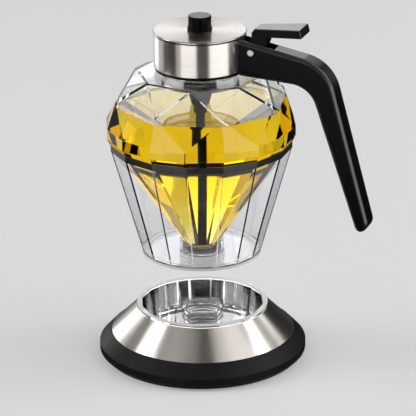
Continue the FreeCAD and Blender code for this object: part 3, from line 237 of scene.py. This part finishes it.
def makeJarAcrylic(honeyLow, honeyLevel):
    material, tree, shader, rough = makeAcrylic("jarAcrylic", acrylic["jarColor"])
    x, y, z = partsOf(tree, objectPoint(tree))
    normalX, normalY, normalZ = outwardNormal(tree)
    away = calculate(tree, "MULTIPLY_ADD", x, normalX, calculate(tree, "MULTIPLY", y, normalY))
    inside = calculate(tree, "LESS_THAN", away, 0.0)  # the inner wall points at the axis
    wet = calculate(tree, "MULTIPLY", inside, bandOf(tree, z, honeyLow, honeyLevel))
    matchIndex(tree, shader, wet, acrylic["ior"])
    dry = calculate(tree, "SUBTRACT", 1.0, wet)
    tree.links.new(calculate(tree, "MULTIPLY", rough, dry), shader.inputs["Roughness"])
    return material


honeyLook = {
    "color": (1.0, 0.985, 0.90),
    "ior": 1.49,
    "roughness": 0.0,
    "absorbs": (0.987, 0.895, 0.04),
    "density": 56.0,  # per metre
    "swirlScale": 55.0,
    "swirl": 0.00002,
    "surfaceTilt": 0.8,  # least upward share of a normal on the open surface
    "shade": (0.93, 0.78, 0.16),
}


def makeHoney():
    material, tree, shader = newMaterial("runnyHoney")
    point = objectPoint(tree)
    shader.inputs["Base Color"].default_value = (*honeyLook["color"], 1)
    shader.inputs["Roughness"].default_value = honeyLook["roughness"]
    normalX, normalY, normalZ = outwardNormal(tree)
    walled = calculate(tree, "LESS_THAN", normalZ, honeyLook["surfaceTilt"])
    matchIndex(tree, shader, walled, honeyLook["ior"])
    shader.inputs["Transmission Weight"].default_value = 1.0
    swirls = noiseOf(tree, point, honeyLook["swirlScale"], detail=2.0)
    raiseSurface(tree, shader, swirls, honeyLook["swirl"])
    depth = tree.nodes.new("ShaderNodeVolumeAbsorption")
    depth.inputs["Color"].default_value = (*honeyLook["absorbs"], 1)
    depth.inputs["Density"].default_value = honeyLook["density"]
    output = tree.nodes["Material Output"]
    tree.links.new(depth.outputs["Volume"], output.inputs["Volume"])
    letLampsThrough(tree, shader, honeyLook["shade"])
    return material


brushed = {
    "light": (0.71, 0.67, 0.63),
    "dark": (0.61, 0.57, 0.53),
    # the lid gets a darker copy of the side's brushed steel: painted shade on its upward face
    "lidLight": (0.60, 0.57, 0.54),
    "lidDark": (0.52, 0.49, 0.46),
    "roughness": (0.22, 0.25),
    "anisotropy": 0.82,
    "glossTurn": 0.25,  # of a full turn, so that the gloss spreads across the streaks
    "leastRadius": 0.0001,  # metres, keeps the middle of a disc from dividing by nothing
    "streaksPerMetre": 5200.0,
    "streakLength": 1.6,  # smaller is longer, round the axis
    "scratch": 0.0000007,
    "smudgeScale": 45.0,
    "smudge": 0.03,
}


def ringStreaks(tree, point, perMetre, length):
    x, y, z = partsOf(tree, point)
    reach = calculate(tree, "SQRT", squareReach(tree, x, y))
    radius = calculate(tree, "MAXIMUM", reach, brushed["leastRadius"])
    joined = tree.nodes.new("ShaderNodeCombineXYZ")
    for axis, part in (("X", x), ("Y", y)):
        share = calculate(tree, "DIVIDE", part, radius)
        tree.links.new(calculate(tree, "MULTIPLY", share, length), joined.inputs[axis])
    across = calculate(tree, "ADD", radius, z)
    tree.links.new(calculate(tree, "MULTIPLY", across, perMetre), joined.inputs["Z"])
    return noiseOf(tree, joined.outputs["Vector"], 1.0, detail=2.0)


def makeBrushedSteel(name, light, dark):
    material, tree, shader = newMaterial(name)
    point = objectPoint(tree)
    streaks = ringStreaks(tree, point, brushed["streaksPerMetre"], brushed["streakLength"])
    smudges = noiseOf(tree, point, brushed["smudgeScale"], detail=4.0)
    color = blendColors(tree, between(tree, streaks, 0.0, 1.0), dark, light)
    tree.links.new(color, shader.inputs["Base Color"])
    low, high = brushed["roughness"]
    grain = between(tree, streaks, low, high)
    rough = calculate(tree, "ADD", grain, between(tree, smudges, 0.0, brushed["smudge"]))
    tree.links.new(rough, shader.inputs["Roughness"])
    shader.inputs["Metallic"].default_value = 1.0
    shader.inputs["Anisotropic"].default_value = brushed["anisotropy"]
    shader.inputs["Anisotropic Rotation"].default_value = brushed["glossTurn"]
    tangent = tree.nodes.new("ShaderNodeTangent")
    tangent.direction_type = "RADIAL"
    tangent.axis = "Z"
    tree.links.new(tangent.outputs["Tangent"], shader.inputs["Tangent"])
    raiseSurface(tree, shader, streaks, brushed["scratch"])
    return material


def makeMetal(name, look):
    material, tree, shader = newMaterial(name)
    point = objectPoint(tree)
    shader.inputs["Metallic"].default_value = 1.0
    wear = noiseOf(tree, point, look["wearScale"], detail=5.0)
    color = blendColors(tree, between(tree, wear, 0.0, 1.0), look["dark"], look["light"])
    tree.links.new(color, shader.inputs["Base Color"])
    low, high = look["roughness"]
    tree.links.new(between(tree, wear, low, high), shader.inputs["Roughness"])
    grain = noiseOf(tree, point, look["grainScale"], detail=2.0)
    raiseSurface(tree, shader, grain, look["grain"])
    return material


polished = {
    "light": (0.80, 0.79, 0.77),
    "dark": (0.70, 0.69, 0.68),
    "roughness": (0.09, 0.17),
    "wearScale": 260.0,
    "grainScale": 1500.0,
    "grain": 0.000003,
}

pan = {
    "light": (0.95, 0.95, 0.95),
    "dark": (0.90, 0.90, 0.90),
    "roughness": (0.04, 0.08),
    "wearScale": 120.0,
    "grainScale": 700.0,
    "grain": 0.0000006,
}

dulled = {
    "light": (0.50, 0.49, 0.48),
    "dark": (0.40, 0.39, 0.38),
    "roughness": (0.30, 0.38),
    "wearScale": 300.0,
    "grainScale": 1500.0,
    "grain": 0.000003,
}

zinc = {
    "light": (0.66, 0.67, 0.68),
    "dark": (0.50, 0.51, 0.54),
    "roughness": (0.26, 0.42),
    "wearScale": 500.0,
    "grainScale": 2500.0,
    "grain": 0.000008,
}

castIron = {
    "light": (0.17, 0.17, 0.18),
    "dark": (0.09, 0.09, 0.095),
    "roughness": (0.55, 0.75),
    "wearScale": 200.0,
    "grainScale": 900.0,
    "grain": 0.00006,
}


grainShare = 0.5  # of the grain in a moulded piece's roughness, the rest is its cloud


def makeMoulded(name, look):
    material, tree, shader = newMaterial(name)
    point = objectPoint(tree)
    cloud = noiseOf(tree, point, look["cloudScale"], detail=4.0)
    color = blendColors(tree, between(tree, cloud, 0.0, 1.0), look["dark"], look["light"])
    tree.links.new(color, shader.inputs["Base Color"])
    grain = noiseOf(tree, point, look["grainScale"])
    low, high = look["roughness"]
    clouded = calculate(tree, "MULTIPLY", cloud, 1.0 - grainShare)
    mixed = calculate(tree, "MULTIPLY_ADD", grain, grainShare, clouded)
    tree.links.new(between(tree, mixed, low, high), shader.inputs["Roughness"])
    shader.inputs["Specular IOR Level"].default_value = look["specular"]
    raiseSurface(tree, shader, grain, look["grain"])
    return material


# black plastic with painted highlights: a lighter colour and more gloss painted on its level tops,
# and more gloss painted along its rounded edges
def makePlasticWithPaintedSheen(name, sheenPaint):
    material = makeMoulded(name, blackPlastic)
    tree = material.node_tree
    shader = tree.nodes["Principled BSDF"]
    across, up = outwardNormal(tree)[1:]
    top = between(tree, up, 0.0, 1.0, *sheenPaint["top"])
    side = calculate(tree, "ABSOLUTE", across)
    edge = calculate(
        tree, "MULTIPLY", between(tree, side, 0.0, 1.0, *sheenPaint["edgeStart"]),
        between(tree, side, 1.0, 0.0, *sheenPaint["edgeEnd"]),
    )
    paintedSheenMask = calculate(tree, "MAXIMUM", top, edge)
    gloss = between(tree, paintedSheenMask, blackPlastic["specular"], sheenPaint["specular"], 0.0, 1.0)
    tree.links.new(gloss, shader.inputs["Specular IOR Level"])
    moulded = shader.inputs["Roughness"].links[0].from_socket
    smoother = between(tree, top, 1.0, sheenPaint["smoother"], 0.0, 1.0)
    tree.links.new(calculate(tree, "MULTIPLY", moulded, smoother), shader.inputs["Roughness"])
    # the lighter colour on level tops is a painted highlight, not a colour of the plastic
    share, under, over, mixed = colorMix(tree)
    over.default_value = (*sheenPaint["color"], 1)
    tree.links.new(shader.inputs["Base Color"].links[0].from_socket, under)
    tree.links.new(top, share)
    tree.links.new(mixed, shader.inputs["Base Color"])
    return material


blackPlastic = {
    "light": (0.0045, 0.0045, 0.005),
    "dark": (0.002, 0.002, 0.0022),
    "roughness": (0.28, 0.36),
    "cloudScale": 70.0,
    "grainScale": 3200.0,
    "grain": 0.000012,
    "specular": 0.07,
}

# painted highlights on the grip and lever: lighter colour and more gloss on level tops, more gloss on
# rounded edges
gripPaintedSheen = {
    "top": (0.80, 0.93),  # upward share of the normal, where it begins and is full
    "edgeStart": (0.25, 0.45),  # sideways share of the normal
    "edgeEnd": (0.93, 0.99),
    "specular": 1.0,
    "smoother": 0.6,  # share of the moulded roughness that is left on top
    # lighter top colour, a painted highlight
    "color": (0.12, 0.12, 0.123),
}

# only the knob's flat top gets the painted highlight, and its round side stays as moulded
knobPaintedSheen = {
    "top": (0.92, 0.99),
    "edgeStart": (1.1, 1.2),  # above 1, so no edge is reached
    "edgeEnd": (1.1, 1.2),
    "specular": 0.5,
    "smoother": 0.8,
    # lighter top colour, a painted highlight
    "color": (0.035, 0.035, 0.036),
}

greyPlastic = {
    "light": (0.0115, 0.0115, 0.0125),
    "dark": (0.0065, 0.0065, 0.007),
    "roughness": (0.40, 0.54),
    "cloudScale": 60.0,
    "grainScale": 2600.0,
    "grain": 0.000025,
    "specular": 0.16,
}

slate = {
    "light": (0.024, 0.024, 0.030),
    "dark": (0.014, 0.014, 0.018),
    "roughness": (0.24, 0.36),
    "cloudScale": 120.0,
    "grainScale": 2400.0,
    "grain": 0.000008,
    "specular": 0.5,
}

blackSilicone = {
    "light": (0.009, 0.009, 0.0095),
    "dark": (0.005, 0.005, 0.0055),
    "roughness": (0.55, 0.72),
    "cloudScale": 90.0,
    "grainScale": 1800.0,
    "grain": 0.00002,
    "specular": 0.35,
}

clearSilicone = {
    "light": (0.86, 0.87, 0.88),
    "dark": (0.74, 0.75, 0.77),
    "roughness": (0.35, 0.5),
    "cloudScale": 160.0,
    "grainScale": 1800.0,
    "grain": 0.00001,
    "specular": 0.4,
}

finishes = {
    "clear_acrylic": makeAcrylic("clearAcrylic", acrylic["color"])[0],
    "honey": makeHoney(),
    "brushed_steel": makeBrushedSteel("brushedSteel", brushed["light"], brushed["dark"]),
    "polished_steel": makeMetal("polishedSteel", polished),
    "zinc_screw": makeMetal("zincScrew", zinc),
    "cast_weight": makeMetal("castWeight", castIron),
    "black_plastic": makeMoulded("blackPlastic", blackPlastic),
    "grey_plastic": makeMoulded("greyPlastic", greyPlastic),
    "slate_band": makeMoulded("slateBand", slate),
    "black_silicone": makeMoulded("blackSilicone", blackSilicone),
    "clear_silicone": makeMoulded("clearSilicone", clearSilicone),
}
honeyLow, honeyLevel = (corner[2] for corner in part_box("honey"))
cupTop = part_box("drip_cup")[1][2]
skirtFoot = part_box("skirt")[0][2]
# bands that show as painted highlights: the skirt's foot and the cup's top rim
paintedRimBands = {
    "skirt": {"low": skirtFoot + 0.0036, "high": skirtFoot + 0.0062, "radius": 0.0318, "clear": 0.15},
    "drip_cup": {"low": cupTop - 0.0004, "high": cupTop + 0.0010, "radius": 0.02, "clear": 0.4},
}

# pieces with a finish of their own
ownFinish = {
    "jar": makeJarAcrylic(honeyLow, honeyLevel),
    "skirt": makeAcrylicWithPaintedRim("skirtAcrylic", acrylic["color"], paintedRimBands["skirt"]),
    "drip_cup": makeAcrylicWithPaintedRim("cupAcrylic", acrylic["cupColor"], paintedRimBands["drip_cup"]),
    "drip_socket": makeAcrylic("socketAcrylic", acrylic["cupColor"])[0],
    # darker lid steel, a painted shade on the top
    "cap_lid": makeBrushedSteel("lidSteel", brushed["lidLight"], brushed["lidDark"]),
    "cup_pan": makeMetal("panSteel", pan),
    "handle": makePlasticWithPaintedSheen("gripPlasticPaintedSheen", gripPaintedSheen),
    "knob": makePlasticWithPaintedSheen("knobPlasticPaintedSheen", knobPaintedSheen),
    "lever_pin": makeMetal("pinSteel", dulled),
}
ownFinish["thumb_lever"] = ownFinish["handle"]
print("finishes mixed:", len(finishes) + len(ownFinish))

# edge softness of each finish in metres
softness = {
    "clear_acrylic": 0.00022,
    "brushed_steel": 0.0001,
    "polished_steel": 0.00015,
    "zinc_screw": 0.0001,
    "cast_weight": 0.0002,
    "black_plastic": 0.0002,
    "grey_plastic": 0.0003,
    "slate_band": 0.0002,
    "black_silicone": 0.0002,
    "clear_silicone": 0.0001,
}
ownSoftness = {"skirt": 0.0006}
edgeWork = {
    "weld": 0.000002,  # metres
    "flatAngle": 0.6,  # degrees between faces that count as one
    "edgeAngle": 12.0,  # degrees from which an edge is softened
    "segments": 2,
}


def softenEdges(piece, width):
    weld = piece.modifiers.new("weld", "WELD")
    weld.merge_threshold = edgeWork["weld"]
    flat = piece.modifiers.new("flatFaces", "DECIMATE")
    flat.decimate_type = "DISSOLVE"
    flat.angle_limit = math.radians(edgeWork["flatAngle"])
    bevel = piece.modifiers.new("softEdges", "BEVEL")
    bevel.width = width
    bevel.segments = edgeWork["segments"]
    bevel.limit_method = "ANGLE"
    bevel.angle_limit = math.radians(edgeWork["edgeAngle"])
    bevel.miter_outer = "MITER_ARC"
    bevel.harden_normals = False
    normals = piece.modifiers.new("cleanNormals", "WEIGHTED_NORMAL")
    normals.keep_sharp = False


def dressNode(name, piece):
    slotName = piece.material_slots[0].material.name
    for slot in piece.material_slots:
        slot.material = ownFinish.get(name, finishes[slotName])
    if slotName in softness:
        softenEdges(piece, ownSoftness.get(name, softness[slotName]))


for name in sorted(nodes):
    dressNode(name, nodes[name])
print("pieces dressed")

filling = {
    "overlap": 0.00012,  # how far the honey reaches into the glass
    "meniscusRise": 0.0006,
    "meniscusWidth": 0.0014,
    "merge": 0.00001,  # points nearer than this are one
    "flatAngle": 0.8,  # degrees between faces that count as one
}


def pourHoney():
    source = nodes["honey"].data
    mesh = bmesh.new()
    for vertex in source.vertices:
        mesh.verts.new(vertex.co)
    bmesh.ops.remove_doubles(mesh, verts=mesh.verts, dist=filling["merge"])
    hull = bmesh.ops.convex_hull(mesh, input=mesh.verts)
    loose = [item for item in hull["geom_interior"] if isinstance(item, bmesh.types.BMVert)]
    bmesh.ops.delete(mesh, geom=loose, context="VERTS")
    flatAngle = math.radians(filling["flatAngle"])
    bmesh.ops.dissolve_limit(mesh, angle_limit=flatAngle, verts=mesh.verts, edges=mesh.edges)
    level = max(vertex.co.z for vertex in mesh.verts)
    low = min(vertex.co.z for vertex in mesh.verts)
    for vertex in mesh.verts:
        flat = Vector((vertex.co.x, vertex.co.y, 0))
        if flat.length > 0:
            vertex.co += flat.normalized() * filling["overlap"]
    highEnough = level - filling["merge"]
    top = [face for face in mesh.faces if min(corner.co.z for corner in face.verts) > highEnough]
    # the surface climbs the glass a little all round
    bmesh.ops.inset_region(
        mesh, faces=top, thickness=filling["meniscusWidth"], use_even_offset=True
    )
    inner = set()
    for face in top:
        inner.update(face.verts)
    for vertex in inner:
        vertex.co.z -= filling["meniscusRise"]
    bmesh.ops.recalc_face_normals(mesh, faces=mesh.faces)
    data = bpy.data.meshes.new("honey_fill")
    mesh.to_mesh(data)
    mesh.free()
    piece = bpy.data.objects.new("honey_fill", data)
    bpy.context.scene.collection.objects.link(piece)
    data.materials.append(finishes["honey"])
    print("honey poured, from", round(low * 1000, 1), "to", round(level * 1000, 1), "mm")
    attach(piece, "jar")
    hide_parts("honey")
    return piece


pourHoney()

studio = {
    "floorRadius": 9.0,
    "floorSides": 96,
    "floorColor": (0.87, 0.87, 0.88),
    "floorShine": 0.0,
    "wall": 0.92,  # brightness, where 1 is white
    "wallThroughGlass": 1.0,
    "floorBright": 1.0,
    "farShare": 0.85,  # share of floorBright in what glass shows of the far floor
    "nearShare": 0.25,  # share of floorBright in the floor as it is seen
    "farStart": 0.13,  # metres from the middle
    "farFull": 0.40,
}

# brightness of the room by height, 0 at eye level and 1 straight up
roomLight = {0.10: 0.72, 0.42: 0.22, 1.0: 0.13}

softboxes = {
    "left": {"spot": (-1.75, -0.55, 1.15), "size": (0.7, 1.5), "watts": 15.0},
    "right": {"spot": (1.68, 0.78, 1.05), "size": (0.45, 1.5), "watts": 10.0},
    "back": {"spot": (-0.72, 1.78, 0.84), "size": (1.0, 0.6), "watts": 2.1},
    "rightBack": {"spot": (0.98, 1.50, 1.03), "size": (0.45, 0.8), "watts": 2.0},
    "topLeft": {"spot": (-0.72, -0.70, 2.0), "size": (1.3, 1.9), "watts": 2.4},
    "topRight": {"spot": (1.30, 0.10, 1.9), "size": (1.6, 2.0), "watts": 10.5},
}
lampTarget = (0.0, 0.0, 0.09)

# cards, seen only in reflections; degrees are counted from the camera, to the right
cards = {
    "frontBlack": {"middle": 6.0, "spread": 28.0, "reach": 0.40, "height": 0.80, "glow": 0.0},
    "leftBlack": {"middle": -80.0, "spread": 40.0, "reach": 0.36, "height": 0.24, "glow": 0.0},
    "rightBlack": {"middle": 128.0, "spread": 80.0, "reach": 0.36, "height": 0.165, "glow": 0.0},
    "leftWhite": {"middle": -28.0, "spread": 38.0, "reach": 0.42, "height": 0.28, "glow": 1.8},
    "rightWhite": {"middle": 47.0, "spread": 48.0, "reach": 0.42, "height": 0.28, "glow": 2.0},
    "edgeWhite": {"middle": -134.0, "spread": 24.0, "reach": 0.42, "height": 0.28, "glow": 1.9},
}
# black sheets on the table, in rings round the base, seen only in reflections: they paint dark
# reflections
reflectionPapers = {
    "underBlack": {"middle": 0.0, "spread": 360.0, "near": 0.0585, "far": 0.30},
    "leftReflectionPaper": {"middle": -80.0, "spread": 42.0, "near": 0.30, "far": 0.36},
    "rightReflectionPaper": {"middle": 128.0, "spread": 84.0, "near": 0.30, "far": 0.36},
}
cardLook = {
    "black": (0.012, 0.012, 0.013),
    "roughness": 0.9,
    "steps": 8,
    "paperSteps": 48,
    "foot": 0.001,
    "paperLift": 0.0004,
}


def lightenFloor(tree, shader):
    path = tree.nodes.new("ShaderNodeLightPath")
    glow = tree.nodes.new("ShaderNodeEmission")
    level = studio["floorBright"]
    glow.inputs["Color"].default_value = (level, level, level, 1)
    mix = tree.nodes.new("ShaderNodeMixShader")
    x, y, z = partsOf(tree, objectPoint(tree))
    away = calculate(tree, "SQRT", squareReach(tree, x, y))
    far = between(tree, away, 0.0, studio["farShare"], studio["farStart"], studio["farFull"])
    seen = calculate(tree, "MULTIPLY", path.outputs["Is Transmission Ray"], far)
    share = calculate(
        tree, "MULTIPLY_ADD", path.outputs["Is Camera Ray"], studio["nearShare"], seen
    )
    tree.links.new(share, mix.inputs["Fac"])
    tree.links.new(shader.outputs["BSDF"], mix.inputs[1])
    tree.links.new(glow.outputs["Emission"], mix.inputs[2])
    return mix.outputs["Shader"]


def layFloor():
    mesh = bmesh.new()
    bmesh.ops.create_circle(
        mesh, cap_ends=True, radius=studio["floorRadius"], segments=studio["floorSides"]
    )
    data = bpy.data.meshes.new("floor")
    mesh.to_mesh(data)
    mesh.free()
    floor = bpy.data.objects.new("floor", data)
    bpy.context.scene.collection.objects.link(floor)
    material, tree, shader = newMaterial("paleFloor")
    shader.inputs["Base Color"].default_value = (*studio["floorColor"], 1)
    shader.inputs["Specular IOR Level"].default_value = studio["floorShine"]
    tree.links.new(lightenFloor(tree, shader), tree.nodes["Material Output"].inputs["Surface"])
    data.materials.append(material)


def lightRoom():
    world = bpy.data.worlds.new("room")
    bpy.context.scene.world = world
    world.use_nodes = True
    tree = world.node_tree
    background = tree.nodes["Background"]
    direction = tree.nodes.new("ShaderNodeTexCoord").outputs["Generated"]
    ramp = tree.nodes.new("ShaderNodeValToRGB")
    tree.links.new(partsOf(tree, direction)[2], ramp.inputs["Fac"])
    stops = ramp.color_ramp.elements
    stops.new(0.5)  # a third stop beside the ramp's own two
    for stop, (height, brightness) in zip(stops, roomLight.items()):
        stop.position = height
        stop.color = (brightness, brightness, brightness, 1)
    path = tree.nodes.new("ShaderNodeLightPath")
    shown = ramp.outputs["Color"]
    for ray, level in (
        ("Is Transmission Ray", studio["wallThroughGlass"]), ("Is Camera Ray", studio["wall"])
    ):
        share, room, wall, mixed = colorMix(tree)
        wall.default_value = (level, level, level, 1)
        tree.links.new(path.outputs[ray], share)
        tree.links.new(shown, room)
        shown = mixed
    tree.links.new(shown, background.inputs["Color"])
    background.inputs["Strength"].default_value = 1.0


def hangSoftbox(name, box):
    data = bpy.data.lights.new(name, "AREA")
    data.shape = "RECTANGLE"
    data.size, data.size_y = box["size"]
    data.energy = box["watts"]
    lamp = bpy.data.objects.new(name, data)
    spot = Vector(box["spot"])
    facing = (Vector(lampTarget) - spot).to_track_quat("-Z", "Y")
    lamp.matrix_world = Matrix.Translation(spot) @ facing.to_matrix().to_4x4()
    bpy.context.scene.collection.objects.link(lamp)


def standCard(name, card):
    rows = [(card["reach"], cardLook["foot"]), (card["reach"], card["height"])]
    sweepCard(name, card, rows, cardLook["steps"], card["glow"])


def layReflectionPaper(name, paper):
    rows = [(paper["near"], cardLook["paperLift"]), (paper["far"], cardLook["paperLift"])]
    sweepCard(name, paper, rows, cardLook["paperSteps"], 0.0)


def sweepCard(name, card, rows, steps, glow):
    mesh = bmesh.new()
    # the camera stands a quarter turn back from the X axis at azimuth 0
    start = viewpoint["azimuth"] - 90 + card["middle"] - card["spread"] / 2
    columns = []
    for step in range(steps + 1):
        angle = math.radians(start + card["spread"] * step / steps)
        columns.append([
            mesh.verts.new((reach * math.cos(angle), reach * math.sin(angle), height))
            for reach, height in rows
        ])
    for near, far in zip(columns, columns[1:]):
        mesh.faces.new((near[0], far[0], far[1], near[1]))
    data = bpy.data.meshes.new(name)
    mesh.to_mesh(data)
    mesh.free()
    material, tree, shader = newMaterial(name)
    shader.inputs["Base Color"].default_value = (*cardLook["black"], 1)
    shader.inputs["Roughness"].default_value = cardLook["roughness"]
    shader.inputs["Emission Color"].default_value = (1, 1, 1, 1)
    shader.inputs["Emission Strength"].default_value = glow
    data.materials.append(material)
    piece = bpy.data.objects.new(name, data)
    piece.visible_camera = False
    piece.visible_diffuse = False
    piece.visible_shadow = False
    piece.visible_transmission = False
    bpy.context.scene.collection.objects.link(piece)


layFloor()
lightRoom()
for name, card in cards.items():
    standCard(name, card)
for name, paper in reflectionPapers.items():
    layReflectionPaper(name, paper)
for name, box in softboxes.items():
    hangSoftbox(name, box)
bpy.context.scene.view_settings.view_transform = "Standard"
print("studio lit")
